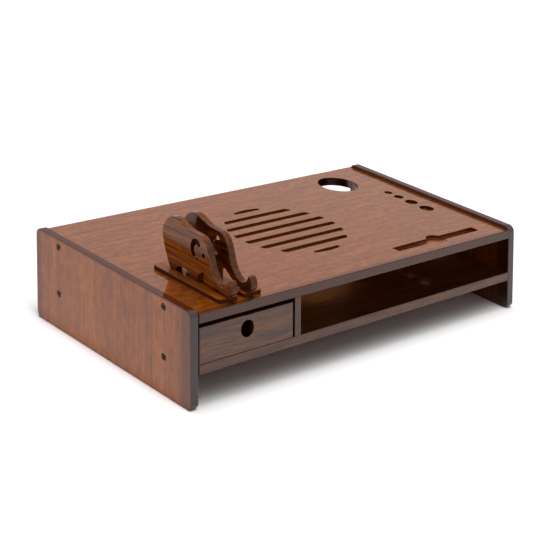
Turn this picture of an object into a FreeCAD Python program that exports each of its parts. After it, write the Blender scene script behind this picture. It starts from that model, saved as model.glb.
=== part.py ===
import FreeCAD, Part
import math
import os

from FreeCAD import Vector

# A wooden monitor stand with one drawer and a loose phone holder.
# Millimetres. Origin: centre of the footprint on the floor.
# +X runs to the right along the stand, -Y to its front, +Z up.

os.makedirs("parts", exist_ok=True)

# Stand, overall
stand_width = 600.0
stand_depth = 305.0
stand_height = 119.5

# Side panels
panel_thickness = 12.0
panel_corner_radius = 8.5
panel_arris = 1.2

# Top board and lower shelf, which run between the panels
board_thickness = 12.0
shelf_thickness = 12.0
board_drop = 4.5
board_setback = 0.5
shelf_top = 53.5
board_arris = 1.0

# Upright divider between the drawer's bay and the open bay
drawer_bay_width = 154.5
divider_thickness = 12.0
divider_arris = 1.2

# Panel bolts, which pass through the panels into the ends of both boards
bolt_from_edge = 48.0
bolt_radius = 2.0
bolt_reach = 28.0
bolt_head_radius = 3.5
bolt_head_height = 4.0
bolt_recess_radius = 4.5
bolt_recess_depth = 5.8
bolt_socket_width = 3.0
bolt_socket_depth = 2.2
bolt_head_arris = 0.5
hardware_clearance = 0.05

# Dowels in the top of the divider, and screws up into its foot
divider_dowel_radius = 3.0
divider_dowel_length = 16.0
divider_fixing_count = 3
divider_fixing_from_edge = 40.0
divider_screw_radius = 2.0
divider_screw_reach = 24.0
shelf_screw_head_radius = 4.0

# Strip behind the drawer that it closes against
stop_depth = 12.0
stop_height = 15.0
stop_gap = 0.5
stop_screw_radius = 1.75
stop_screw_reach = 10.0
stop_screw_from_end = 27.0

# Drawer front
drawer_side_gap = 1.7
drawer_floor_gap = 0.3
drawer_top_gap = 4.7
front_thickness = 12.0
front_arris = 1.0
finger_hole_radius = 10.5
finger_hole_height = 27.6
finger_hole_arris = 0.6

# Drawer box behind the front
box_side_thickness = 8.0
box_side_height = 38.0
box_bottom_thickness = 3.0
groove_depth = 3.0
groove_height = 4.0
groove_clearance = 0.25
front_dowel_radius = 2.0
front_dowel_in_front = 8.0
front_dowel_in_side = 14.0
front_dowel_heights = (13.0, 30.0)
back_pin_radius = 1.0
back_pin_length = 20.0
back_pin_heights = (14.0, 31.0)

# Round field of ventilation slots in the middle of the top board
vent_field_radius = 82.5
vent_count = 8
vent_pitch = 22.6
vent_width = 8.6
vent_corner_radius = 2.5

# Cable hole near the rear right corner
cable_hole_radius = 30.0
cable_hole_from_panel = 81.0
cable_hole_from_rear = 51.0

# Row of four pen holes, each with its distance behind the board's front edge
pen_hole_from_panel = 37.5
pen_holes = ((10.2, 118.0), (9.0, 147.0), (7.0, 171.5), (6.0, 191.5))

# Blind phone groove along the front, with a round recess in its middle
phone_groove_length = 165.5
phone_groove_width = 13.0
phone_groove_depth = 7.0
phone_groove_from_panel = 40.5
phone_groove_from_front = 28.0
phone_groove_corner_radius = 1.8
charge_recess_radius = 14.0
cutout_arris = 0.5

# Base plate of the loose phone holder
base_width = 69.0
base_length = 124.0
base_thickness = 5.0
base_corner_radius = 5.0
base_arris = 0.8
base_from_panel = 41.7
base_from_front = 10.0
notch_width = 11.0
notch_length = 15.0
notch_corner_radius = 3.0

# Two elephant cut-outs that stand on the base
elephant_thickness = 10.0
elephant_spacing = 31.7
elephant_length = 127.2
elephant_height = 67.5
elephant_from_base_left = 12.3
elephant_from_base_rear = 19.6
elephant_arris = 1.0
trunk_clearance = 0.4
eye_radius = 2.8

# Countersunk screws from under the base into the elephants' feet
holder_screw_radius = 1.5
holder_screw_head_radius = 2.8
holder_screw_reach = 12.0

# Places that follow from the sizes above
panel_inner = stand_width / 2 - panel_thickness
board_front = -stand_depth / 2 + board_setback
board_rear = -board_front
board_top = stand_height - board_drop
board_bottom = board_top - board_thickness
shelf_bottom = shelf_top - shelf_thickness
bay_right = -panel_inner + drawer_bay_width
divider_right = bay_right + divider_thickness
divider_middle = (bay_right + divider_right) / 2
stop_front = board_rear - stop_depth
drawer_left = -panel_inner + drawer_side_gap
drawer_right = bay_right - drawer_side_gap
drawer_bottom_edge = shelf_top + drawer_floor_gap
drawer_front_back = board_front + front_thickness
drawer_rear = stop_front - stop_gap
groove_floor = drawer_bottom_edge + groove_height
groove_height_open = box_bottom_thickness + groove_clearance
box_bottom_top = groove_floor + box_bottom_thickness
base_left = -panel_inner + base_from_panel
base_right = base_left + base_width
base_front = board_front + base_from_front
base_rear = base_front + base_length
base_top = board_top + base_thickness
foot_line = base_rear - elephant_from_base_rear
elephant_left_x = base_left + elephant_from_base_left
elephant_middle = elephant_left_x + (elephant_spacing + elephant_thickness) / 2
OUTSIDE = 10.0

# Side view of an elephant as drawn: forward from the rear foot's back corner, and up.
# It is fitted to elephant_length and elephant_height below.
BACK_AND_FACE = (
    (-0.4, 0), (-7.6, 14.7), (-13.8, 34), (-14.9, 43), (-11.8, 53), (-2, 63.9), (11.5, 67.8),
    (27.6, 62.5), (38.2, 60), (52.2, 59.1), (61, 57.3), (67, 51.4), (72, 39.4), (76.4, 25),
    (84.2, 14), (94.9, 9.8), (101.8, 13.2), (104.6, 18.6),
)
TRUNK_TIP_AND_UNDERSIDE = (
    (104.6, 18.6), (107, 20.8), (110.3, 17.8), (112.3, 12), (110.2, 4.4), (104.4, 0.5), (97, 0),
    (88, 1.2), (78, 6), (64, 15.3),
)
CHEST = ((64, 15.3), (57, 13.5), (51.1, 7.7))
BELLY = ((38.2, 0), (36.6, 4.6), (31, 7.6), (24, 8.4), (17, 7.2), (12.6, 4.2), (11.5, 0))
EAR_OUTER = (
    (55.8, 47.5), (54.6, 50.8), (49.2, 53.3), (43, 51.6), (39.2, 46), (38.6, 38.5), (40.8, 31.3),
    (45.6, 27.8), (51.4, 28.3),
)
EAR_INNER = ((52, 29.6), (48.4, 33.4), (45.2, 36.6), (45, 41.6), (47.4, 45.6), (50.6, 46.6))
EAR_HOOK = ((50.6, 46.6), (52.2, 45), (54.6, 45.3), (55.8, 47.5))
EYE_CENTRE = (61.8, 36.9)
DRAWN_LENGTH = max(TRUNK_TIP_AND_UNDERSIDE)[0] - min(BACK_AND_FACE)[0]
DRAWN_HEIGHT = max(point[1] for point in BACK_AND_FACE)
FRONT_FOOT_MIDDLE = (CHEST[-1][0] + BELLY[0][0]) / 2
REAR_FOOT_MIDDLE = (BELLY[-1][0] + BACK_AND_FACE[0][0]) / 2


def block(x0, x1, y0, y1, z0, z1):
    return Part.makeBox(x1 - x0, y1 - y0, z1 - z0, Vector(x0, y0, z0))


def rod(radius, length, start, direction):
    return Part.makeCylinder(radius, length, Vector(*start), Vector(*direction))


def on_plane(edge, axis, value):
    return all(abs(vertex.Point[axis] - value) < 1e-6 for vertex in edge.Vertexes)


def runs_along(edge, axis):
    ends = edge.Vertexes
    if len(ends) < 2:
        return False
    step = ends[1].Point - ends[0].Point
    return abs(abs(step[axis]) - edge.Length) < 1e-6


def eased(shape, radius, wanted):
    edges = [edge for edge in shape.Edges if wanted(edge)]
    return shape.makeFillet(radius, edges).Solids[0]


def cut_all(shape, tools):
    return shape.cut(tools).Solids[0]


def save(name, *solids):
    shape = solids[0] if len(solids) == 1 else Part.makeCompound(list(solids))
    shape.exportStep("parts/" + name + ".step")


def spread(first, last, count):
    return [first + (last - first) * i / (count - 1) for i in range(count)]


def hexagon_prism(width, length, start, direction):
    corner_radius = width / math.sqrt(3)
    turns = [math.radians(60 * i) for i in range(7)]
    ring = Part.makePolygon([
        Vector(corner_radius * math.cos(turn), corner_radius * math.sin(turn), 0) for turn in turns
    ])
    prism = Part.Face(ring).extrude(Vector(0, 0, length))
    prism.Placement = FreeCAD.Placement(Vector(*start), FreeCAD.Rotation(Vector(0, 0, 1), Vector(*direction)))
    return prism


# Countersunk wood screw driven upwards, its head flush with the face at start_z
def countersunk_screw(x, y, start_z, radius, head_radius, reach):
    head = Part.makeCone(head_radius, radius, head_radius - radius, Vector(x, y, start_z))
    shank = rod(radius, reach, (x, y, start_z), (0, 0, 1))
    socket = hexagon_prism(radius, (head_radius - radius) * 0.8, (x, y, start_z), (0, 0, 1))
    return head.fuse(shank).removeSplitter().cut(socket).Solids[0]


# Room for a countersunk screw, with a clearance all round and past its point
def countersunk_hole(x, y, start_z, radius, head_radius, reach):
    cone_height = head_radius - radius
    cone = Part.makeCone(
        head_radius + hardware_clearance, radius + hardware_clearance, cone_height, Vector(x, y, start_z)
    )
    hole = rod(radius + hardware_clearance, reach + hardware_clearance, (x, y, start_z), (0, 0, 1))
    return cone.fuse(hole)


# Side panels
bolt_rows = (board_front + bolt_from_edge, board_rear - bolt_from_edge)
bolt_heights = (board_bottom + board_thickness / 2, shelf_bottom + shelf_thickness / 2)
bolt_places = [(y, z) for y in bolt_rows for z in bolt_heights]
bolt_length = panel_thickness - bolt_recess_depth + bolt_reach


def side_panel(side):
    inner = side * panel_inner
    outer = side * stand_width / 2
    front = -stand_depth / 2
    panel = block(min(inner, outer), max(inner, outer), front, -front, 0, stand_height)
    panel = eased(panel, panel_corner_radius, lambda edge: runs_along(edge, 0))
    panel = eased(panel, panel_arris, lambda edge: on_plane(edge, 0, inner) or on_plane(edge, 0, outer))
    cuts = []
    for y, z in bolt_places:
        cuts.append(rod(bolt_recess_radius, bolt_recess_depth, (outer, y, z), (-side, 0, 0)))
        cuts.append(rod(bolt_radius + hardware_clearance, panel_thickness, (outer, y, z), (-side, 0, 0)))
    return cut_all(panel, cuts)


# One socket-head bolt, seated on the floor of its recess
def panel_bolt(side, y, z):
    seat = side * (stand_width / 2 - bolt_recess_depth)
    head = rod(bolt_head_radius, bolt_head_height, (seat, y, z), (side, 0, 0))
    top = seat + side * bolt_head_height
    head = eased(head, bolt_head_arris, lambda edge: on_plane(edge, 0, top))
    shank = rod(bolt_radius, bolt_length, (seat, y, z), (-side, 0, 0))
    socket = hexagon_prism(bolt_socket_width, bolt_socket_depth, (top, y, z), (-side, 0, 0))
    return head.fuse(shank).cut(socket).Solids[0]


# Bolt holes in both ends of a board whose middle lies at the height z
def end_bores(z):
    depth = bolt_reach + hardware_clearance
    radius = bolt_radius + hardware_clearance
    return [
        rod(radius, depth, (side * panel_inner, y, z), (-side, 0, 0))
        for side in (-1, 1) for y in bolt_rows
    ]


# Vents: parallel slots, each trimmed by the round field
def vent_slot(y):
    strip = block(
        -vent_field_radius, vent_field_radius, y - vent_width / 2, y + vent_width / 2,
        board_bottom - OUTSIDE, board_top + OUTSIDE,
    )
    field = rod(vent_field_radius, board_thickness + 2 * OUTSIDE, (0, 0, board_bottom - OUTSIDE), (0, 0, 1))
    slot = strip.common(field).Solids[0]
    return eased(slot, vent_corner_radius, lambda edge: runs_along(edge, 2))


def phone_groove():
    right = panel_inner - phone_groove_from_panel
    left = right - phone_groove_length
    middle_y = board_front + phone_groove_from_front
    floor = board_top - phone_groove_depth
    groove = block(
        left, right, middle_y - phone_groove_width / 2, middle_y + phone_groove_width / 2, floor,
        board_top + OUTSIDE,
    )
    groove = eased(groove, phone_groove_corner_radius, lambda edge: runs_along(edge, 2))
    recess_place = ((left + right) / 2, middle_y, floor)
    recess = rod(charge_recess_radius, phone_groove_depth + OUTSIDE, recess_place, (0, 0, 1))
    return groove.fuse(recess).removeSplitter()


divider_fixing_rows = spread(
    board_front + divider_fixing_from_edge, board_rear - divider_fixing_from_edge, divider_fixing_count
)


# Sockets for the divider's dowels, half of each in the board and half in the divider
def dowel_sockets():
    start = board_bottom - divider_dowel_length / 2 - hardware_clearance
    length = divider_dowel_length + 2 * hardware_clearance
    radius = divider_dowel_radius + hardware_clearance
    return [rod(radius, length, (divider_middle, y, start), (0, 0, 1)) for y in divider_fixing_rows]


def divider_dowels():
    start = board_bottom - divider_dowel_length / 2
    return [
        rod(divider_dowel_radius, divider_dowel_length, (divider_middle, y, start), (0, 0, 1))
        for y in divider_fixing_rows
    ]


# The top face's inner edges, and none of the board's own arrises
def on_cutout_rim(edge):
    middle = edge.CenterOfMass
    inside = abs(middle.x) < panel_inner - board_arris and abs(middle.y) < board_rear - 2 * board_arris
    return inside and on_plane(edge, 2, board_top)


def top_board():
    board = block(-panel_inner, panel_inner, board_front, board_rear, board_bottom, board_top)
    board = eased(board, board_arris, lambda edge: runs_along(edge, 0))
    through = board_thickness + 2 * OUTSIDE
    start = board_bottom - OUTSIDE
    cuts = [vent_slot((i - (vent_count - 1) / 2) * vent_pitch) for i in range(vent_count)]
    cable_place = (panel_inner - cable_hole_from_panel, board_rear - cable_hole_from_rear, start)
    cuts.append(rod(cable_hole_radius, through, cable_place, (0, 0, 1)))
    for radius, from_front in pen_holes:
        place = (panel_inner - pen_hole_from_panel, board_front + from_front, start)
        cuts.append(rod(radius, through, place, (0, 0, 1)))
    cuts.append(phone_groove())
    board = cut_all(board, cuts)
    board = eased(board, cutout_arris, on_cutout_rim)
    return cut_all(board, end_bores(bolt_heights[0]) + dowel_sockets())


divider_screw_places = [(divider_middle, y) for y in divider_fixing_rows]
stop_screw_places = [
    (x, board_rear - stop_depth / 2)
    for x in (-panel_inner + stop_screw_from_end, bay_right - stop_screw_from_end)
]


# Screws or their holes in the shelf's underside: make is the function for one of them
def divider_screws(make):
    reach = shelf_thickness + divider_screw_reach
    return [
        make(x, y, shelf_bottom, divider_screw_radius, shelf_screw_head_radius, reach)
        for x, y in divider_screw_places
    ]


def stop_screws(make):
    reach = shelf_thickness + stop_screw_reach
    return [
        make(x, y, shelf_bottom, stop_screw_radius, shelf_screw_head_radius, reach)
        for x, y in stop_screw_places
    ]


def lower_shelf():
    shelf = block(-panel_inner, panel_inner, board_front, board_rear, shelf_bottom, shelf_top)
    shelf = eased(shelf, board_arris, lambda edge: runs_along(edge, 0))
    screw_holes = divider_screws(countersunk_hole) + stop_screws(countersunk_hole)
    return cut_all(shelf, end_bores(bolt_heights[1]) + screw_holes)


def divider():
    board = block(bay_right, divider_right, board_front, board_rear, shelf_top, board_bottom)
    board = eased(board, divider_arris, lambda edge: runs_along(edge, 2))
    return cut_all(board, dowel_sockets() + divider_screws(countersunk_hole))


def drawer_stop():
    top = shelf_top + stop_height
    strip = block(-panel_inner, bay_right, stop_front, board_rear, shelf_top, top)
    strip = eased(strip, board_arris, lambda edge: runs_along(edge, 0) and on_plane(edge, 2, top))
    return cut_all(strip, stop_screws(countersunk_hole))


# Drawer: a lapped-on front, two sides, a back between them and a bottom in grooves
side_middles = (drawer_left + box_side_thickness / 2, drawer_right - box_side_thickness / 2)
front_dowel_places = [(x, drawer_bottom_edge + h) for x in side_middles for h in front_dowel_heights]
back_middle_y = drawer_rear - box_side_thickness / 2


# The space that the bottom panel's edges slide into
def bottom_groove():
    inner_left = drawer_left + box_side_thickness - groove_depth
    inner_right = drawer_right - box_side_thickness + groove_depth
    return block(
        inner_left, inner_right, drawer_front_back - groove_depth, drawer_rear + OUTSIDE,
        groove_floor, groove_floor + groove_height_open,
    )


def front_dowel_sockets():
    start = drawer_front_back - front_dowel_in_front - hardware_clearance
    length = front_dowel_in_front + front_dowel_in_side + 2 * hardware_clearance
    radius = front_dowel_radius + hardware_clearance
    return [rod(radius, length, (x, start, z), (0, 1, 0)) for x, z in front_dowel_places]


def front_dowels():
    start = drawer_front_back - front_dowel_in_front
    length = front_dowel_in_front + front_dowel_in_side
    return [rod(front_dowel_radius, length, (x, start, z), (0, 1, 0)) for x, z in front_dowel_places]


def on_finger_hole_rim(edge):
    return len(edge.Vertexes) == 1 and on_plane(edge, 1, board_front)


def drawer_front():
    top = board_bottom - drawer_top_gap
    front = block(drawer_left, drawer_right, board_front, drawer_front_back, drawer_bottom_edge, top)
    front = eased(front, front_arris, lambda edge: on_plane(edge, 1, board_front))
    hole_x = (drawer_left + drawer_right) / 2
    hole_start = (hole_x, board_front - OUTSIDE, drawer_bottom_edge + finger_hole_height)
    front = cut_all(front, [rod(finger_hole_radius, front_thickness + 2 * OUTSIDE, hole_start, (0, 1, 0))])
    front = eased(front, finger_hole_arris, on_finger_hole_rim)
    return cut_all(front, front_dowel_sockets() + [bottom_groove()])


def back_pin_sockets(radius, extra):
    pins = []
    for side, outer in ((1, drawer_left), (-1, drawer_right)):
        for h in back_pin_heights:
            start = (outer, back_middle_y, drawer_bottom_edge + h)
            pins.append(rod(radius, back_pin_length + extra, start, (side, 0, 0)))
    return pins


def drawer_side(left_x):
    side = block(
        left_x, left_x + box_side_thickness, drawer_front_back, drawer_rear,
        drawer_bottom_edge, drawer_bottom_edge + box_side_height,
    )
    holes = back_pin_sockets(back_pin_radius + hardware_clearance, hardware_clearance)
    return cut_all(side, front_dowel_sockets() + holes + [bottom_groove()])


def drawer_back():
    back = block(
        drawer_left + box_side_thickness, drawer_right - box_side_thickness,
        drawer_rear - box_side_thickness, drawer_rear,
        box_bottom_top + groove_clearance, drawer_bottom_edge + box_side_height,
    )
    return cut_all(back, back_pin_sockets(back_pin_radius + hardware_clearance, hardware_clearance))


def drawer_bottom():
    play = groove_clearance
    return block(
        drawer_left + box_side_thickness - groove_depth + play,
        drawer_right - box_side_thickness + groove_depth - play,
        drawer_front_back - groove_depth + play, drawer_rear, groove_floor, box_bottom_top,
    )


# Phone holder: elephants' outline in the stand's frame
stretch_y = elephant_length / DRAWN_LENGTH
stretch_z = elephant_height / DRAWN_HEIGHT


def drawn(point, lift=0.0):
    return Vector(0, foot_line - point[0] * stretch_y, base_top + lift + point[1] * stretch_z)


def curve(points):
    spline = Part.BSplineCurve()
    spline.interpolate(points)
    return spline.toShape()


def line(start, end):
    return Part.makeLine(start, end)


# The feet stand on the base, and the trunk is lifted to hang clear of it
def elephant_profile():
    toe = drawn((CHEST[-1][0], 0))
    heel = drawn(BELLY[0])
    edges = [
        curve([drawn(point) for point in BACK_AND_FACE[:-1]] + [drawn(BACK_AND_FACE[-1], trunk_clearance)]),
        curve([drawn(point, trunk_clearance) for point in TRUNK_TIP_AND_UNDERSIDE]),
        curve([drawn(CHEST[0], trunk_clearance)] + [drawn(point) for point in CHEST[1:]]),
        line(drawn(CHEST[-1]), toe),
        line(toe, heel),
        curve([drawn(point) for point in BELLY]),
        line(drawn(BELLY[-1]), drawn(BACK_AND_FACE[0])),
    ]
    return Part.Face(Part.Wire(edges))


def ear_profile():
    edges = [curve([drawn(point) for point in points]) for points in (EAR_OUTER, EAR_INNER, EAR_HOOK)]
    edges.append(line(drawn(EAR_OUTER[-1]), drawn(EAR_INNER[0])))
    return Part.Face(Part.Wire(Part.__sortEdges__(edges)))


holder_screw_places = [
    (elephant_left_x + elephant_thickness / 2 + i * elephant_spacing, drawn((forward, 0)).y)
    for i in range(2) for forward in (FRONT_FOOT_MIDDLE, REAR_FOOT_MIDDLE)
]


def holder_screws(make):
    reach = base_thickness + holder_screw_reach
    return [
        make(x, y, board_top, holder_screw_radius, holder_screw_head_radius, reach)
        for x, y in holder_screw_places
    ]


def elephant(left_x):
    far_face = elephant_thickness
    across = Vector(far_face, 0, 0)
    body = elephant_profile().extrude(across)
    body = eased(body, elephant_arris, lambda edge: on_plane(edge, 0, 0) or on_plane(edge, 0, far_face))
    eye = drawn(EYE_CENTRE)
    cuts = [ear_profile().extrude(across), rod(eye_radius, elephant_thickness, (0, eye.y, eye.z), (1, 0, 0))]
    body = cut_all(body, cuts)
    body.translate(Vector(left_x, 0, 0))
    return cut_all(body, holder_screws(countersunk_hole))


def phone_holder_base():
    plate = block(base_left, base_right, base_front, base_rear, board_top, base_top)
    plate = eased(plate, base_corner_radius, lambda edge: runs_along(edge, 2))
    end = base_front + notch_length
    notch = block(
        elephant_middle - notch_width / 2, elephant_middle + notch_width / 2,
        base_front - OUTSIDE, end, board_top - OUTSIDE, base_top + OUTSIDE,
    )
    notch = eased(notch, notch_corner_radius, lambda edge: runs_along(edge, 2) and on_plane(edge, 1, end))
    plate = cut_all(plate, [notch])
    plate = eased(plate, base_arris, lambda edge: on_plane(edge, 2, base_top))
    return cut_all(plate, holder_screws(countersunk_hole))


save("side_panel_left", side_panel(-1))
save("side_panel_right", side_panel(1))
save("top_board", top_board())
save("lower_shelf", lower_shelf())
save("divider", divider())
save("drawer_stop", drawer_stop())
save("panel_bolts", *[panel_bolt(side, y, z) for side in (-1, 1) for y, z in bolt_places])
save("divider_dowels", *divider_dowels())
save("divider_screws", *divider_screws(countersunk_screw))
save("stop_screws", *stop_screws(countersunk_screw))
save("drawer_front", drawer_front())
save("drawer_side_left", drawer_side(drawer_left))
save("drawer_side_right", drawer_side(drawer_right - box_side_thickness))
save("drawer_back", drawer_back())
save("drawer_bottom", drawer_bottom())
save("drawer_front_dowels", *front_dowels())
save("drawer_back_pins", *back_pin_sockets(back_pin_radius, 0.0))
save("phone_holder_base", phone_holder_base())
save("elephant_left", elephant(elephant_left_x))
save("elephant_right", elephant(elephant_left_x + elephant_spacing))
save("holder_screws", *holder_screws(countersunk_screw))
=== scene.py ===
import math

import bpy
from mathutils import Matrix, Vector


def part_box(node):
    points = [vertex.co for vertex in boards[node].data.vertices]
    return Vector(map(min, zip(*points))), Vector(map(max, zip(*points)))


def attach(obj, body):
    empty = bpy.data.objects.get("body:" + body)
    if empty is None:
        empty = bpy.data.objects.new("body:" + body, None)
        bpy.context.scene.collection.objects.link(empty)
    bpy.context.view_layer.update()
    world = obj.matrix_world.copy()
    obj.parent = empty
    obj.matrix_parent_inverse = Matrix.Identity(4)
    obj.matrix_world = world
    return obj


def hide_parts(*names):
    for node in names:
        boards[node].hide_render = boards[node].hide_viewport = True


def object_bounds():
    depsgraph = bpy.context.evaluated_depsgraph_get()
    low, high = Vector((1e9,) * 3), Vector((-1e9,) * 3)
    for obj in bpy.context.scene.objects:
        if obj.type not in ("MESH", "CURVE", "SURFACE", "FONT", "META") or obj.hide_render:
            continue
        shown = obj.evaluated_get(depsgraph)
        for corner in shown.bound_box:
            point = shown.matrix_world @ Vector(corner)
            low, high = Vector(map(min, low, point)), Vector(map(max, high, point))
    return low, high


# A walnut-stained monitor stand with one drawer and a loose phone holder.
# Metres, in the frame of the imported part: +X to the right, -Y to the front, +Z up.

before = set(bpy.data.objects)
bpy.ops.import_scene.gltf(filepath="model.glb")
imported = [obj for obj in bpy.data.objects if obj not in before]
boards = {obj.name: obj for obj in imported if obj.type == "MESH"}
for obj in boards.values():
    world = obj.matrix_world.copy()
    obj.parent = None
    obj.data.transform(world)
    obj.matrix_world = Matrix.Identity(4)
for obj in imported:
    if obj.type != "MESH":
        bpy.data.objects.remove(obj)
cad_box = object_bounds()
MM = 0.001

# Sizes that the finishes and the bolts need
panel_arris = 1.2 * MM
board_arris = 1.0 * MM
cutout_arris = 0.5 * MM
bolt_head_radius = 3.5 * MM
bolt_head_height = 4.0 * MM
bolt_socket_width = 3.0 * MM
bolt_socket_depth = 2.2 * MM
bolt_recess_radius = 4.5 * MM
bolt_radius = 2.0 * MM
bolt_easing = 0.5 * MM
knurl_count = 36
knurl_depth = 0.12 * MM
bolt_chamfer = 0.2 * MM
charge_recess_depth = 7.0 * MM
finger_hole = Vector((-210.75, 0.0, 81.4)) * MM
finger_hole_radius = 10.5 * MM
vent_reach = 84 * MM
pen_holes_left = 238 * MM
pen_holes_front = -46 * MM
smallest_pen_hole = 38 * MM
lit_cuts_rear = 60 * MM
vent_pale_from = 0.8 * MM
cut_pale_from = 3.2 * MM
pale_fade = 1.6 * MM
uncut_border = 1.5 * MM
arris_start = 0.02 * MM

bolt_low, bolt_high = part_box("panel_bolts")
bolt_rows = (bolt_low.y + bolt_head_radius, bolt_high.y - bolt_head_radius)
bolt_heights = (bolt_low.z + bolt_head_radius, bolt_high.z - bolt_head_radius)
bolt_face = bolt_high.x
bolt_end = min(abs(corner.co.x) for corner in boards["panel_bolts"].data.vertices)

# Stains and metals, as linear colours, with the colours that paint shade and light on the wood
STAIN_DEEP = (0.075, 0.013, 0.0008)
STAIN_BODY = (0.240, 0.055, 0.002)
# The brightest stain, also laid on the arrises as a painted highlight
BRIGHT_STAIN_AND_HIGHLIGHT = (0.42, 0.125, 0.008)
# Dark stain on the boards' edges, also laid in bands as painted shade beside edges
EDGE_STAIN_AND_SHADE = (0.06, 0.010, 0.002)
# Lighter walls of the cuts below their stained rims, partly bare wood and partly painted light; the vents'
# walls are painted lighter
BARE_AND_LIT_CUT_WALL = (0.36, 0.13, 0.015)
PAINTED_LIT_VENT_WALL = (0.42, 0.21, 0.04)
BARE_WOOD = (0.56, 0.30, 0.15)
PALE_WOOD = (0.85, 0.56, 0.33)
RECESS_FLOOR = (0.44, 0.18, 0.09)
# Near-black painted shadow, laid in the gaps beside the left panel and the divider and inside the finger hole
PAINTED_SHADOW = (0.006, 0.003, 0.002)
# Greyer brown, laid over the shelf's upper face and the top of its front
GREYED_STAIN = (0.20, 0.10, 0.04)
DARK_STEEL = (0.10, 0.10, 0.11)
PLAIN_STEEL = (0.42, 0.40, 0.37)
DOWEL_BEECH = (0.56, 0.36, 0.18)

# The wood's figure: the width and length of a fibre in millimetres, and how much each layer adds
FIBRE_WIDTH, FIBRE_LENGTH = 0.9, 22
FIBRE_SHARE = 0.5
BAND_SHARE = 0.8
STAVE_SHARE = 0.26
WANDER_ALONG, WANDER_ASIDE = 5.0, 9.0
LACQUER_IOR = 1.57


class Wiring:
    """Adds nodes to a tree and joins them."""

    def __init__(self, tree):
        self.tree = tree

    def add(self, kind, settings=None, **inputs):
        made = self.tree.nodes.new(kind)
        for name, value in (settings or {}).items():
            setattr(made, name, value)
        for name, value in inputs.items():
            self.feed(made.inputs[name.replace("_", " ")], value)
        return made

    def feed(self, socket, value):
        if isinstance(value, bpy.types.NodeSocket):
            self.tree.links.new(value, socket)
        else:
            socket.default_value = value

    def calc(self, operation, *values):
        made = self.add("ShaderNodeMath", {"operation": operation})
        for socket, value in zip(made.inputs, values):
            self.feed(socket, value)
        return made.outputs[0]

    def vector(self, x, y, z):
        made = self.add("ShaderNodeCombineXYZ")
        for socket, value in zip(made.inputs, (x, y, z)):
            self.feed(socket, value)
        return made.outputs[0]

    def length(self, first, second):
        """Length of a flat vector, from its two parts."""
        square = self.calc("MULTIPLY", second, second)
        return self.calc("SQRT", self.calc("MULTIPLY_ADD", first, first, square))


class Finish(Wiring):
    """One material, mixed step by step on its object's own coordinates."""

    def __init__(self, name):
        self.material = bpy.data.materials.new(name)
        self.material.use_nodes = True
        super().__init__(self.material.node_tree)
        self.tree.nodes.clear()
        place = self.add("ShaderNodeTexCoord").outputs["Object"]
        apart = self.add("ShaderNodeSeparateXYZ", Vector=place)
        self.axis = dict(zip("xyz", apart.outputs))

    def fade(self, value, start, end, low=0.0, high=1.0):
        made = self.add("ShaderNodeMapRange", {"interpolation_type": "SMOOTHSTEP"}, Value=value)
        for name, number in (("From Min", start), ("From Max", end), ("To Min", low), ("To Max", high)):
            made.inputs[name].default_value = number
        return made.outputs[0]

    def apart_from(self, centre, first, second):
        """Distance from a line through the centre, square to the two axes."""
        return self.length(*(
            self.calc("SUBTRACT", self.axis[letter], centre["xyz".index(letter)])
            for letter in (first, second)
        ))

    def noise(self, vector, detail, roughness=0.55):
        made = self.add("ShaderNodeTexNoise", Vector=vector, Scale=1.0, Detail=detail, Roughness=roughness)
        return made.outputs[0]

    def speckle(self, scales, detail):
        """Noise on the object's own coordinates, with a scale for each axis."""
        scaled = (self.calc("MULTIPLY", self.axis[a], scale) for a, scale in zip("xyz", scales))
        return self.noise(self.vector(*scaled), detail)

    def mix(self, share, first, second):
        made = self.add("ShaderNodeMix", {"data_type": "RGBA"})
        self.feed(made.inputs[0], share)
        for socket, colour in ((made.inputs[6], first), (made.inputs[7], second)):
            self.feed(socket, colour if isinstance(colour, bpy.types.NodeSocket) else (*colour, 1.0))
        return made.outputs[2]

    def ramp(self, value, *stops):
        made = self.add("ShaderNodeValToRGB", Fac=value)
        points = made.color_ramp.elements
        while len(points) < len(stops):
            points.new(0.5)
        for point, (position, colour) in zip(points, stops):
            point.position = position
            point.color = (*colour, 1.0)
        return made.outputs[0]

    def bump(self, height, depth, strength=1.0):
        return self.add("ShaderNodeBump", Height=height, Distance=depth, Strength=strength).outputs[0]

    def shade(self, colour, roughness, normal, **fixed):
        shader = self.add(
            "ShaderNodeBsdfPrincipled", Base_Color=colour, Roughness=roughness, Normal=normal, **fixed,
        )
        out = self.add("ShaderNodeOutputMaterial")
        self.tree.links.new(shader.outputs[0], out.inputs[0])
        return self.material


def edge_distance(finish, node, across):
    """How far a point lies from the nearer of a board's two wide faces."""
    low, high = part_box(node)
    axis = "xyz".index(across)
    middle = (low[axis] + high[axis]) / 2
    half = (high[axis] - low[axis]) / 2
    offset = finish.calc("ABSOLUTE", finish.calc("SUBTRACT", finish.axis[across], middle))
    return finish.calc("SUBTRACT", half, offset)


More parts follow.
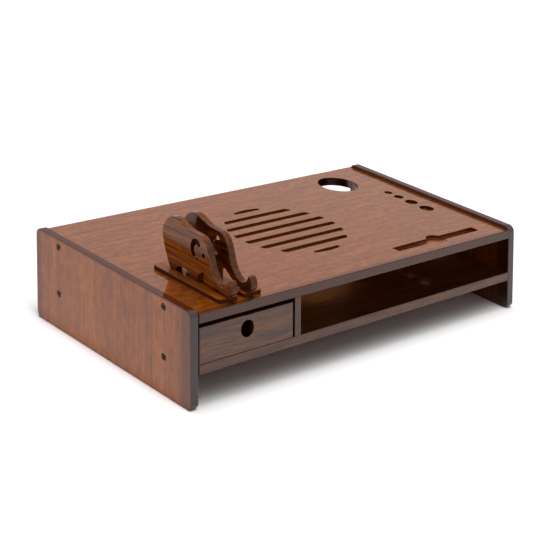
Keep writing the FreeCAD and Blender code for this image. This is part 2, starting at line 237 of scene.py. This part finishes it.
def stained_wood(
    name, node, grain, across, arris=board_arris, place=(0, 0, 0), recesses=False, deep_cuts=False, hole=None,
    stave=0.0, streak=(0.8, 2.6, 45), lines=(0.0, 1.3, 60), mottle=(0.3, 12), wander=0.010, tone=0.5, dip=1.0,
    edge_share=0.55, arris_share=0.3, bands_at=(),
    gloss=1.0, top_gloss=None, edge_gloss=1.0, lacquer=0.05, gleam=0.0, rough=0.42,
):
    """Stained, lacquered board: grain runs along one axis, and across is the axis of its thickness.

    streak, lines and mottle each give a share first, then the size of a mark in millimetres. dip is how
    deep the stain is, and gleam is the share of the light that the wood mirrors in its own colour.
    """
    finish = Finish(name)
    side_axis = next(letter for letter in "xyz" if letter not in (grain, across))
    along = finish.calc("ADD", finish.axis[grain], place[0])
    side = finish.calc("ADD", finish.axis[side_axis], place[1])
    depth = finish.calc("ADD", finish.axis[across], place[2])

    # Slow wander of the grain
    broad = finish.vector(
        finish.calc("MULTIPLY", along, WANDER_ALONG), finish.calc("MULTIPLY", side, WANDER_ASIDE), 0.0,
    )
    drift = finish.calc("SUBTRACT", finish.noise(broad, 2.0), 0.5)
    wandering = finish.calc("MULTIPLY_ADD", drift, wander, side)

    def marks(width, length, detail, roughness=0.55):
        vector = finish.vector(
            finish.calc("MULTIPLY", along, 1.0 / (length * MM)),
            finish.calc("MULTIPLY", wandering, 1.0 / (width * MM)),
            finish.calc("MULTIPLY", depth, 0.6 / (width * MM)),
        )
        return finish.calc("SUBTRACT", finish.noise(vector, detail, roughness), 0.5)

    streaks = marks(streak[1], streak[2], 3.0)
    bands = marks(4.5 * streak[1], 3.0 * streak[2], 2.0)
    fibre = marks(FIBRE_WIDTH, FIBRE_LENGTH, 2.0, 0.65)
    clouds = marks(0.7 * mottle[1], mottle[1], 3.0)
    value = finish.calc("MULTIPLY_ADD", streaks, streak[0], tone)
    value = finish.calc("MULTIPLY_ADD", bands, BAND_SHARE * streak[0], value)
    value = finish.calc("MULTIPLY_ADD", fibre, FIBRE_SHARE, value)
    value = finish.calc("MULTIPLY_ADD", clouds, mottle[0], value)

    # Glued staves, each of its own shade
    if stave:
        strips = finish.add(
            "ShaderNodeTexVoronoi", {"voronoi_dimensions": "1D"},
            W=finish.calc("MULTIPLY", side, 1.0 / stave), Scale=1.0,
        )
        shift = finish.calc("SUBTRACT", strips.outputs["Color"], 0.5)
        value = finish.calc("MULTIPLY_ADD", shift, STAVE_SHARE, value)

    # Thin dark pore lines
    if lines[0]:
        pores = finish.fade(marks(lines[1], lines[2], 2.0, 0.5), 0.04, 0.16)
        value = finish.calc("MULTIPLY_ADD", pores, -lines[0], value)

    stains = [tuple(dip * part for part in stain) for stain in (STAIN_DEEP, STAIN_BODY, BRIGHT_STAIN_AND_HIGHLIGHT)]
    colour = finish.ramp(value, (0.10, stains[0]), (0.5, stains[1]), (0.90, stains[2]))

    # Edges take the stain darker, and a lighter line on the arrises is a painted highlight
    inside = edge_distance(finish, node, across)
    if arris_share:
        arris_highlight = finish.calc(
            "MULTIPLY", finish.fade(inside, arris_start, 0.35 * arris),
            finish.fade(inside, 1.3 * arris, 0.6 * arris),
        )
        colour = finish.mix(finish.calc("MULTIPLY", arris_highlight, arris_share), colour, BRIGHT_STAIN_AND_HIGHLIGHT)
    on_edge = finish.fade(inside, arris_start, 0.4 * arris)
    colour = finish.mix(finish.calc("MULTIPLY", on_edge, edge_share), colour, EDGE_STAIN_AND_SHADE)

    # The bolt recesses are cut after staining
    if recesses:
        from_row = finish.calc("SUBTRACT", finish.calc("ABSOLUTE", finish.axis["y"]), bolt_rows[1])
        height = finish.axis["z"]
        from_height = finish.calc(
            "MINIMUM", finish.calc("ABSOLUTE", finish.calc("SUBTRACT", height, bolt_heights[0])),
            finish.calc("ABSOLUTE", finish.calc("SUBTRACT", height, bolt_heights[1])),
        )
        radius = finish.length(from_row, from_height)
        bare = finish.calc(
            "MULTIPLY",
            finish.fade(radius, bolt_recess_radius + 0.25 * MM, bolt_recess_radius + 0.1 * MM),
            finish.fade(inside, 0.1 * MM, 0.4 * MM),
        )
        colour = finish.mix(bare, colour, BARE_WOOD)

    # The stain reaches only the upper part of narrow cuts, and the charging recess has a bare floor; the
    # lighter walls below are also painted light, laid only in the vents and in the cuts at the front, which
    # are open to light
    if deep_cuts:
        low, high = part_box(node)
        below = finish.calc("SUBTRACT", high.z, finish.axis["z"])
        from_end = finish.calc("SUBTRACT", high.y, finish.calc("ABSOLUTE", finish.axis["y"]))
        past_vents = finish.fade(finish.axis["x"], vent_reach, vent_reach + 2 * MM)
        open_to_light = finish.calc(
            "MAXIMUM", finish.fade(finish.axis["y"], lit_cuts_rear + 2 * MM, lit_cuts_rear),
            finish.calc("SUBTRACT", 1.0, past_vents),
        )
        pale_from = finish.calc(
            "MULTIPLY_ADD", past_vents, cut_pale_from - vent_pale_from, vent_pale_from,
        )
        cut = finish.fade(finish.calc("SUBTRACT", below, pale_from), 0.0, pale_fade)
        cut = finish.calc("MULTIPLY", cut, finish.fade(from_end, uncut_border, uncut_border + 1 * MM))
        cut = finish.calc("MULTIPLY", cut, open_to_light)
        colour = finish.mix(cut, colour, finish.mix(past_vents, PAINTED_LIT_VENT_WALL, BARE_AND_LIT_CUT_WALL))
        in_pen_holes = finish.calc(
            "MULTIPLY", finish.fade(finish.axis["x"], pen_holes_left - 2 * MM, pen_holes_left),
            finish.fade(finish.axis["y"], pen_holes_front - 2 * MM, pen_holes_front),
        )
        palest = finish.fade(finish.axis["y"], 0.0, smallest_pen_hole, 0.7, 1.0)
        wall = finish.mix(finish.fade(finish.axis["y"], 0.0, smallest_pen_hole), BARE_WOOD, PALE_WOOD)
        pale = finish.calc("MULTIPLY", finish.calc("MULTIPLY", in_pen_holes, palest), cut)
        colour = finish.mix(pale, colour, wall)
        floor_height = finish.calc("ABSOLUTE", finish.calc("SUBTRACT", below, charge_recess_depth))
        bare = finish.calc("MULTIPLY", finish.fade(floor_height, 0.3 * MM, 0.1 * MM), cut)
        colour = finish.mix(bare, colour, RECESS_FLOOR)

    # Bands of another colour beside some edges and joints, mostly painted shade and painted shadow; in the
    # painted joint shadows the lacquer is taken off too, so that they don't shine: axis, place, width, share,
    # colour
    dulled = 1.0
    for axis, place_at, width, share, shade in bands_at:
        away = finish.calc("ABSOLUTE", finish.calc("SUBTRACT", finish.axis[axis], place_at))
        band = finish.calc("MULTIPLY", finish.fade(away, width, 0.5 * width), share)
        colour = finish.mix(band, colour, shade)
        if shade is PAINTED_SHADOW:
            dulled = finish.calc("MULTIPLY", dulled, finish.calc("SUBTRACT", 1.0, band))

    # The finger hole's wall is darkened inside, a painted shade
    if hole:
        middle, radius = hole
        wall = finish.calc(
            "MULTIPLY",
            finish.fade(finish.apart_from(middle, "x", "z"), radius + 0.4 * MM, radius + 0.2 * MM),
            finish.fade(inside, 0.5 * MM, 1.0 * MM, 0.0, 0.5),
        )
        colour = finish.mix(wall, colour, PAINTED_SHADOW)

    # Dust and hands dull the upper face, and edges hold less lacquer
    shine = gloss
    if top_gloss:
        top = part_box(node)[1].z
        shine = finish.fade(finish.axis["z"], top - 1.2 * MM, top - 0.3 * MM, gloss, top_gloss)
    if edge_gloss < 1.0:
        kept = finish.calc("MULTIPLY_ADD", on_edge, edge_gloss - 1.0, 1.0)
        dulled = finish.calc("MULTIPLY", dulled, kept)
    if dulled != 1.0:
        shine = finish.calc("MULTIPLY", shine, dulled)
    roughness = finish.calc("MULTIPLY_ADD", fibre, 0.25, rough)
    normal = finish.bump(finish.calc("ADD", fibre, finish.calc("MULTIPLY", streaks, 0.4)), 0.05 * MM, 0.5)
    return finish.shade(
        colour, roughness, normal, Metallic=gleam, Specular_IOR_Level=0.0,
        Coat_Weight=shine, Coat_Roughness=lacquer, Coat_IOR=LACQUER_IOR,
    )


def steel(name, colour, rough):
    """Steel with a fine grain and patches of dulling."""
    finish = Finish(name)
    fine = finish.speckle((2600.0, 2600.0, 2600.0), 4.0)
    patches = finish.speckle((420.0, 420.0, 420.0), 2.0)
    darker = tuple(0.55 * part for part in colour)
    surface = finish.ramp(patches, (0.3, darker), (0.65, colour))
    roughness = finish.calc("MULTIPLY_ADD", fine, 0.25, rough)
    return finish.shade(surface, roughness, finish.bump(fine, 0.02 * MM, 0.5), Metallic=1.0)


def beech(name):
    """Plain beech dowel with its short flecks."""
    finish = Finish(name)
    flecks = finish.speckle((900.0, 900.0, 120.0), 3.0)
    light = tuple(min(1.0, 1.25 * part) for part in DOWEL_BEECH)
    return finish.shade(
        finish.ramp(flecks, (0.35, DOWEL_BEECH), (0.65, light)),
        finish.calc("MULTIPLY_ADD", flecks, 0.2, 0.5), finish.bump(flecks, 0.03 * MM, 0.5),
    )


def dress(node, material):
    slots = boards[node].data.materials
    slots.clear()
    slots.append(material)


boards_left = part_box("lower_shelf")[0].x
boards_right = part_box("lower_shelf")[1].x
boards_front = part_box("lower_shelf")[0].y
divider_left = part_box("divider")[0].x
front_left, front_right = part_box("drawer_front")[0].x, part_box("drawer_front")[1].x
panel_finish = dict(
    grain="z", across="x", arris=panel_arris, stave=0.017, streak=(0.45, 1.5, 60), lines=(0.2, 1.0, 60),
    mottle=(0.5, 14), top_gloss=0.5, recesses=True, edge_share=0.85, arris_share=0.0,
    # Bands: painted shade along the front and rear edges, and along the top, where the inner ledge lies in
    # shade; darker towards the floor
    bands_at=(
        ("y", boards_front, 24 * MM, 0.75, EDGE_STAIN_AND_SHADE), ("y", -boards_front, 14 * MM, 0.6, EDGE_STAIN_AND_SHADE),
        ("z", cad_box[0].z, 5 * MM, 0.3, EDGE_STAIN_AND_SHADE),
        ("z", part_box("side_panel_left")[1].z, 4 * MM, 0.4, EDGE_STAIN_AND_SHADE),
    ),
)
dress("side_panel_left", stained_wood("left_panel_walnut", "side_panel_left", **panel_finish))
dress("side_panel_right", stained_wood(
    "right_panel_walnut", "side_panel_right", place=(0.3, 0.7, 0), **panel_finish,
))
dress("top_board", stained_wood(
    "top_board_walnut", "top_board", "x", "z", arris=cutout_arris, deep_cuts=True, wander=0.03,
    streak=(0.65, 1.4, 36), mottle=(0.6, 11), dip=0.98, edge_share=0.65, arris_share=0.0,
    gloss=0.78, top_gloss=0.50, gleam=0.32, rough=0.26,
    # Bands: painted shadow in the joint beside the left panel, and painted shade beside the right panel and
    # along the front edge
    bands_at=(
        ("x", boards_left, 2.4 * MM, 0.95, PAINTED_SHADOW), ("x", boards_right, 8 * MM, 0.5, EDGE_STAIN_AND_SHADE),
        ("y", boards_front, 8 * MM, 0.6, EDGE_STAIN_AND_SHADE),
    ),
))
dress("lower_shelf", stained_wood(
    "shelf_walnut", "lower_shelf", "x", "z", place=(0.5, 0.2, 0), streak=(1.4, 3.0, 60), tone=0.57,
    edge_share=0.12, arris_share=0.0, gloss=0.85,
    # Bands: painted shadow in the joint beside the left panel, and a greyer brown over the upper face
    bands_at=(
        ("x", boards_left, 2.4 * MM, 0.95, PAINTED_SHADOW),
        ("z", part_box("lower_shelf")[1].z, 1.5 * MM, 0.6, GREYED_STAIN),
    ),
))
dress("divider", stained_wood(
    "divider_walnut", "divider", "z", "x", arris=panel_arris, place=(0.1, 0.5, 0),
    edge_share=0.35, gloss=0.88,
    # Painted shadow in the gap at the divider's left
    bands_at=(("x", divider_left, 1.8 * MM, 0.95, PAINTED_SHADOW),),
))
dress("drawer_stop", stained_wood("stop_walnut", "drawer_stop", "x", "y", place=(0.7, 0.1, 0)))
dress("drawer_front", stained_wood(
    "drawer_front_walnut", "drawer_front", "x", "y", place=(0.2, 0.9, 0), wander=0.02,
    streak=(2.0, 1.9, 55), lines=(0.3, 1.2, 45), mottle=(0.3, 10), tone=0.55, edge_share=0.5, gloss=0.95,
    bands_at=(("x", front_left, 3.0 * MM, 0.5, EDGE_STAIN_AND_SHADE), ("x", front_right, 3.0 * MM, 0.5, EDGE_STAIN_AND_SHADE)),
    hole=(finger_hole, finger_hole_radius),
))
# The drawer's inner boards are duller: grain, axis of thickness, place in the grain, share of dark edges
for name, grain, across, place, edge_share in (
    ("drawer_side_left", "y", "x", (0.0, 0.4, 0), 0.2), ("drawer_side_right", "y", "x", (0.3, 0.4, 0), 0.2),
    ("drawer_back", "x", "y", (0.9, 0.3, 0), 0.2), ("drawer_bottom", "x", "z", (0.4, 0.6, 0), 0.0),
):
    dress(name, stained_wood(
        name + "_walnut", name, grain, across, place=place, edge_share=edge_share, gloss=0.5, lacquer=0.2,
    ))
dress("phone_holder_base", stained_wood(
    "holder_base_walnut", "phone_holder_base", "y", "z", arris=cutout_arris, place=(0.2, 0.3, 0),
    streak=(0.6, 2.4, 40), dip=0.9, edge_share=0.6, arris_share=0.0, gloss=0.4,
))
holder_finish = dict(
    grain="y", across="x", arris=cutout_arris, wander=0.02, streak=(1.1, 2.0, 70), lines=(0.8, 1.1, 80),
    dip=0.70, edge_share=0.12, arris_share=0.0,
    gloss=0.68, edge_gloss=0.6, lacquer=0.12, gleam=0.25, rough=0.30,
)
dress("elephant_left", stained_wood("left_elephant_walnut", "elephant_left", **holder_finish))
dress("elephant_right", stained_wood(
    "right_elephant_walnut", "elephant_right", place=(0.5, 0.1, 0), **holder_finish,
))

dark_steel = steel("dark_bolt_steel", DARK_STEEL, 0.25)
plain_steel = steel("plain_screw_steel", PLAIN_STEEL, 0.3)
for name in ("divider_screws", "stop_screws", "holder_screws", "drawer_back_pins"):
    dress(name, plain_steel)
for name in ("divider_dowels", "drawer_front_dowels"):
    dress(name, beech(name + "_beech"))


# Bolts: one outline is turned about its axis for each, with a hexagon socket and a knurled head.
# Each point of the outline has its depth from the head's face, its radius, and 1 where the head is
# knurled or -1 where the socket's six sides are.
bolt_outline = [
    (bolt_socket_depth, 0.0, 0),
    (bolt_socket_depth, bolt_socket_width / 2, -1),
    (bolt_chamfer, bolt_socket_width / 2, -1),
    (0.0, bolt_socket_width / 2 + bolt_chamfer, -1),
    (0.0, bolt_head_radius - bolt_easing, 0),
    (0.15 * bolt_easing, bolt_head_radius - 0.5 * bolt_easing, 0),
    (0.5 * bolt_easing, bolt_head_radius - 0.15 * bolt_easing, 0),
    (bolt_easing, bolt_head_radius, 0),
    (bolt_easing + bolt_chamfer, bolt_head_radius, 1),
    (bolt_head_height - 2 * bolt_chamfer, bolt_head_radius, 1),
    (bolt_head_height - bolt_chamfer, bolt_head_radius, 0),
    (bolt_head_height, bolt_head_radius - bolt_chamfer, 0),
    (bolt_head_height, bolt_radius, 0),
    (bolt_face - bolt_end - bolt_easing, bolt_radius, 0),
    (bolt_face - bolt_end, bolt_radius - bolt_easing, 0),
    (bolt_face - bolt_end, 0.0, 0),
]
bolt_sizes = {
    "Knurls": knurl_count, "Knurl Depth": knurl_depth, "Face": bolt_face, "Row": bolt_rows[1],
    "Lower Height": bolt_heights[0], "Upper Height": bolt_heights[1], "Seed": 7,
}


def bolt_tree():
    tree = bpy.data.node_groups.new("turned_panel_bolts", "GeometryNodeTree")
    tree.interface.new_socket("Outline", in_out="INPUT", socket_type="NodeSocketGeometry")
    for name, value in bolt_sizes.items():
        kind = "NodeSocketInt" if isinstance(value, int) else "NodeSocketFloat"
        tree.interface.new_socket(name, in_out="INPUT", socket_type=kind)
    tree.interface.new_socket("Steel", in_out="INPUT", socket_type="NodeSocketMaterial")
    tree.interface.new_socket("Bolts", in_out="OUTPUT", socket_type="NodeSocketGeometry")
    wires = Wiring(tree)
    given = wires.add("NodeGroupInput").outputs
    rows = len(bolt_outline)

    # A flat grid, one column for each turn step and one row for each point of the outline
    columns = wires.calc("MULTIPLY", given["Knurls"], 2.0)
    grid = wires.add(
        "GeometryNodeMeshGrid", Size_X=1.0, Size_Y=1.0,
        Vertices_X=wires.calc("ADD", columns, 1.0), Vertices_Y=rows,
    )
    position = wires.add("GeometryNodeInputPosition").outputs[0]
    place = wires.add("ShaderNodeSeparateXYZ", Vector=position).outputs
    step = wires.calc("ROUND", wires.calc("MULTIPLY", wires.calc("ADD", place[0], 0.5), columns))
    turn = wires.calc("MULTIPLY", wires.calc("DIVIDE", step, columns), math.tau)
    row = wires.calc("MULTIPLY", wires.calc("ADD", place[1], 0.5), rows - 1.0)
    sample = wires.add(
        "GeometryNodeSampleIndex", {"data_type": "FLOAT_VECTOR", "domain": "POINT"},
        Geometry=given["Outline"], Value=position, Index=wires.calc("ROUND", row),
    )
    point = wires.add("ShaderNodeSeparateXYZ", Vector=sample.outputs[0]).outputs

    # The socket's sides stand off by 1 / cos of the angle from the middle of a side
    to_side = wires.calc("SUBTRACT", wires.calc("FLOORED_MODULO", turn, math.tau / 6), math.tau / 12)
    stand_off = wires.calc("SUBTRACT", wires.calc("DIVIDE", 1.0, wires.calc("COSINE", to_side)), 1.0)
    six_sided = wires.calc("MAXIMUM", wires.calc("MULTIPLY", point[2], -1.0), 0.0)
    radius = wires.calc("MULTIPLY", point[1], wires.calc("MULTIPLY_ADD", stand_off, six_sided, 1.0))
    knurled = wires.calc("MAXIMUM", point[2], 0.0)
    groove = wires.calc("MULTIPLY", knurled, wires.calc("FLOORED_MODULO", step, 2.0))
    radius = wires.calc("SUBTRACT", radius, wires.calc("MULTIPLY", groove, given["Knurl Depth"]))
    turned = wires.add("GeometryNodeSetPosition", Geometry=grid.outputs[0], Position=wires.vector(
        wires.calc("MULTIPLY", point[0], -1.0), wires.calc("MULTIPLY", radius, wires.calc("COSINE", turn)),
        wires.calc("MULTIPLY", radius, wires.calc("SINE", turn)),
    ))
    closed = wires.add("GeometryNodeMergeByDistance", Geometry=turned.outputs[0], Distance=0.001 * MM)
    bolt = wires.add("GeometryNodeFlipFaces", Mesh=closed.outputs[0])

    # Eight places: two sides, two rows, two heights, and each bolt stopped at its own angle
    index = wires.add("GeometryNodeInputIndex").outputs[0]
    other_side = wires.calc("FLOORED_MODULO", index, 2.0)
    side = wires.calc("MULTIPLY_ADD", other_side, -2.0, 1.0)
    pair = wires.calc("FLOOR", wires.calc("DIVIDE", index, 2.0))
    front = wires.calc("MULTIPLY_ADD", wires.calc("FLOORED_MODULO", pair, 2.0), -2.0, 1.0)
    upper = wires.calc("FLOOR", wires.calc("DIVIDE", index, 4.0))
    rise = wires.calc("SUBTRACT", given["Upper Height"], given["Lower Height"])
    places = wires.add("GeometryNodePoints", Count=8, Position=wires.vector(
        wires.calc("MULTIPLY", side, given["Face"]), wires.calc("MULTIPLY", front, given["Row"]),
        wires.calc("MULTIPLY_ADD", upper, rise, given["Lower Height"]),
    ))
    spin = wires.add("FunctionNodeRandomValue", {"data_type": "FLOAT"})
    wires.feed(spin.inputs["Seed"], given["Seed"])
    angle = next(socket for socket in spin.outputs if socket.enabled)
    placed = wires.add(
        "GeometryNodeInstanceOnPoints", Points=places.outputs[0], Instance=bolt.outputs[0],
        Rotation=wires.vector(angle, 0.0, wires.calc("MULTIPLY", other_side, math.pi)),
    )
    real = wires.add("GeometryNodeRealizeInstances", Geometry=placed.outputs[0])
    finished = wires.add("GeometryNodeSetMaterial", Geometry=real.outputs[0], Material=given["Steel"])
    wires.feed(wires.add("NodeGroupOutput").inputs[0], finished.outputs[0])
    return tree


outline_mesh = bpy.data.meshes.new("bolt_outline")
outline_mesh.from_pydata(bolt_outline, [(i, i + 1) for i in range(len(bolt_outline) - 1)], [])
turning = bpy.data.objects.new("bolt_turning", outline_mesh)
bpy.context.scene.collection.objects.link(turning)
lathe = turning.modifiers.new("lathe", "NODES")
lathe.node_group = bolt_tree()
for socket in lathe.node_group.interface.items_tree:
    if socket.in_out == "INPUT" and socket.name in bolt_sizes:
        lathe[socket.identifier] = bolt_sizes[socket.name]
    elif socket.name == "Steel":
        lathe[socket.identifier] = dark_steel
bpy.context.view_layer.update()
turned = turning.evaluated_get(bpy.context.evaluated_depsgraph_get())
panel_bolts = bpy.data.objects.new("turned_bolts", bpy.data.meshes.new_from_object(turned))
bpy.data.objects.remove(turning)
bpy.context.scene.collection.objects.link(panel_bolts)
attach(panel_bolts, "stand")
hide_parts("panel_bolts")


# Studio: a white floor that runs into a white surround
def white_to_the_eye(tree, lighting, mirrored, seen):
    """Mixes three shaders: what lights the stand, what its gloss shows, and what the camera sees."""
    path = tree.nodes.new("ShaderNodeLightPath")
    glossy = tree.nodes.new("ShaderNodeMath")
    glossy.operation = "MAXIMUM"
    tree.links.new(path.outputs["Is Glossy Ray"], glossy.inputs[0])
    tree.links.new(path.outputs["Is Transmission Ray"], glossy.inputs[1])
    result = lighting
    for share, shader in ((glossy.outputs[0], mirrored), (path.outputs["Is Camera Ray"], seen)):
        mixed = tree.nodes.new("ShaderNodeMixShader")
        tree.links.new(share, mixed.inputs[0])
        tree.links.new(result, mixed.inputs[1])
        tree.links.new(shader, mixed.inputs[2])
        result = mixed.outputs[0]
    return result


FLOOR_SIDE = 40.0
FLOOR_DROP = 0.05 * MM
FLOOR_SEEN = 1.0
FLOOR_MIRRORED = 0.95
FLOOR_BOUNCE = 0.07
SKY_LEVEL = 0.04
KEY_WIDTH = math.radians(46)
KEY_BACK = 0.36

# The softbox overhead, as two lamps in a row: how far each leans to the side, and its level
KEY_ROW = ((0.0, 0.52), (0.42, 0.54))

# The floor's lamps, in a row from front to back: how far each leans to the back, its level and its width
FLOOR_LAMPS = (
    (-1.6, 0.07, math.radians(60)), (-0.60, 0.12, math.radians(24)), (-0.32, 0.26, math.radians(24)),
    (-0.06, 0.44, math.radians(24)), (0.20, 0.28, math.radians(24)),
)

# A low softbox stands at each of two sides: its level on the face that it lights, the point that it
# lights, its own place, its width and height, and the nodes that it leaves in shade
SIDE_LIGHTS = {
    "left_softbox": (
        1.12, (cad_box[0].x, 0.0, 0.06), (-0.95, 0.05, 0.058), 0.9, 0.11, ("side_panel_right", "lower_shelf"),
    ),
    "front_softbox": (0.20, (0.0, cad_box[0].y, 0.06), (0.08, -1.3, 0.058), 0.5, 0.11, ()),
}

floor_mesh = bpy.data.meshes.new("studio_floor")
half_floor = FLOOR_SIDE / 2
floor_corners = [(x * half_floor, y * half_floor, 0) for x, y in ((-1, -1), (1, -1), (1, 1), (-1, 1))]
floor_mesh.from_pydata(floor_corners, [], [(0, 1, 2, 3)])
floor = bpy.data.objects.new("studio_floor", floor_mesh)
floor.location.z = -FLOOR_DROP
bpy.context.scene.collection.objects.link(floor)

floor_paint = bpy.data.materials.new("studio_floor_paint")
floor_paint.use_nodes = True
paint = floor_paint.node_tree
paint.nodes.clear()
coats = []
for level in (FLOOR_BOUNCE, FLOOR_MIRRORED, FLOOR_SEEN):
    coat = paint.nodes.new("ShaderNodeBsdfDiffuse")
    coat.inputs["Color"].default_value = (level, level, level, 1.0)
    coats.append(coat.outputs[0])
paint_out = paint.nodes.new("ShaderNodeOutputMaterial")
paint.links.new(white_to_the_eye(paint, *coats), paint_out.inputs[0])
floor_mesh.materials.append(floor_paint)

world = bpy.data.worlds.new("studio_surround")
world.use_nodes = True
sky = world.node_tree
sky.nodes.clear()
levels = []
for level in (SKY_LEVEL, 1.0, 1.0):
    background = sky.nodes.new("ShaderNodeBackground")
    background.inputs["Color"].default_value = (1.0, 1.0, 1.0, 1.0)
    background.inputs["Strength"].default_value = level
    levels.append(background.outputs[0])
sky_out = sky.nodes.new("ShaderNodeOutputWorld")
sky.links.new(white_to_the_eye(sky, *levels), sky_out.inputs[0])
bpy.context.scene.world = world


def all_but(name, shaded):
    """The receivers of a lamp that leaves the shaded objects out."""
    receivers = bpy.data.collections.new(name)
    for item in shaded:
        receivers.objects.link(item)
    for link in receivers.collection_objects:
        link.light_linking.link_state = "EXCLUDE"
    return receivers


# The floor has lamps of its own, so that its shadow lies as softly as in the photograph
floor_only = bpy.data.collections.new("lit_by_floor_softboxes")
floor_only.objects.link(floor)
all_but_floor = all_but("lit_by_key_softboxes", [floor])


def hang(name, lamp, receivers):
    stand = bpy.data.objects.new(name, lamp)
    stand.rotation_mode = "QUATERNION"
    stand.light_linking.receiver_collection = receivers
    stand.visible_camera = False
    stand.visible_glossy = False
    bpy.context.scene.collection.objects.link(stand)
    return stand


def far_softbox(name, lean, back, level, width, receivers):
    """A soft lamp far overhead, which lights a level face to that level."""
    source = Vector((lean, back, 1.0)).normalized()
    lamp = bpy.data.lights.new(name, "SUN")
    lamp.energy = level * math.pi / source.z
    lamp.angle = width
    hang(name, lamp, receivers).rotation_quaternion = source.to_track_quat("Z", "Y")


for number, (lean, level) in enumerate(KEY_ROW):
    far_softbox("key_softbox_%d" % (number + 1), lean, KEY_BACK, level, KEY_WIDTH, all_but_floor)
for number, (back, level, width) in enumerate(FLOOR_LAMPS):
    far_softbox("floor_softbox_%d" % (number + 1), 0.0, back, level, width, floor_only)

# An area lamp lights a face that looks at it, at distance d, to the level power / (pi * pi * d * d)
for name, (level, target, place, width, height, shaded) in SIDE_LIGHTS.items():
    lamp = bpy.data.lights.new(name, "AREA")
    lamp.shape = "RECTANGLE"
    lamp.size = width
    lamp.size_y = height
    away = Vector(place) - Vector(target)
    lamp.energy = level * math.pi ** 2 * away.length_squared
    stand = hang(name, lamp, all_but("lit_by_" + name, [floor, *(boards[node] for node in shaded)]))
    stand.location = place
    stand.rotation_quaternion = away.to_track_quat("Z", "Y")

# Camera. The photograph was straightened after it was taken, so its uprights are parallel and its
# horizon leans. The camera's frame is slanted in the same way, through its parent's inverse matrix.
LENS = 103.65
SENSOR = 36.0
CAMERA_PLACE = Vector((-1.37370, -1.40451, 0.82707))
PICTURE_AZIMUTH = math.radians(-42.368)
PICTURE_ELEVATION = math.radians(6.460)
VIEW_AZIMUTH = math.radians(-43.753)
VIEW_ELEVATION = math.radians(21.431)
HORIZON_LEAN = 0.09522


def towards(azimuth, elevation):
    """From the stand towards a camera at that azimuth and elevation."""
    flat = math.cos(elevation)
    return Vector((math.sin(azimuth) * flat, -math.cos(azimuth) * flat, math.sin(elevation)))


level = Vector((math.cos(PICTURE_AZIMUTH), math.sin(PICTURE_AZIMUTH), 0.0))
upright = towards(PICTURE_AZIMUTH, PICTURE_ELEVATION).cross(level)
sideways = (level + HORIZON_LEAN * upright).normalized()
backwards = towards(VIEW_AZIMUTH, VIEW_ELEVATION)
slanted = Matrix((sideways, upright, backwards)).transposed().to_4x4()
slanted.translation = CAMERA_PLACE

camera_data = bpy.data.cameras.new("photo_camera")
camera_data.lens = LENS
camera_data.sensor_width = SENSOR
camera = bpy.data.objects.new("photo_camera", camera_data)
camera.location = CAMERA_PLACE
camera.rotation_mode = "QUATERNION"
camera.rotation_quaternion = backwards.to_track_quat("Z", "Y")
tripod = bpy.data.objects.new("photo_tripod", None)
for item in (tripod, camera):
    bpy.context.scene.collection.objects.link(item)
bpy.context.view_layer.update()
camera.parent = tripod
camera.matrix_parent_inverse = slanted @ camera.matrix_basis.inverted()
bpy.context.scene.camera = camera
bpy.context.scene.view_settings.view_transform = "Standard"
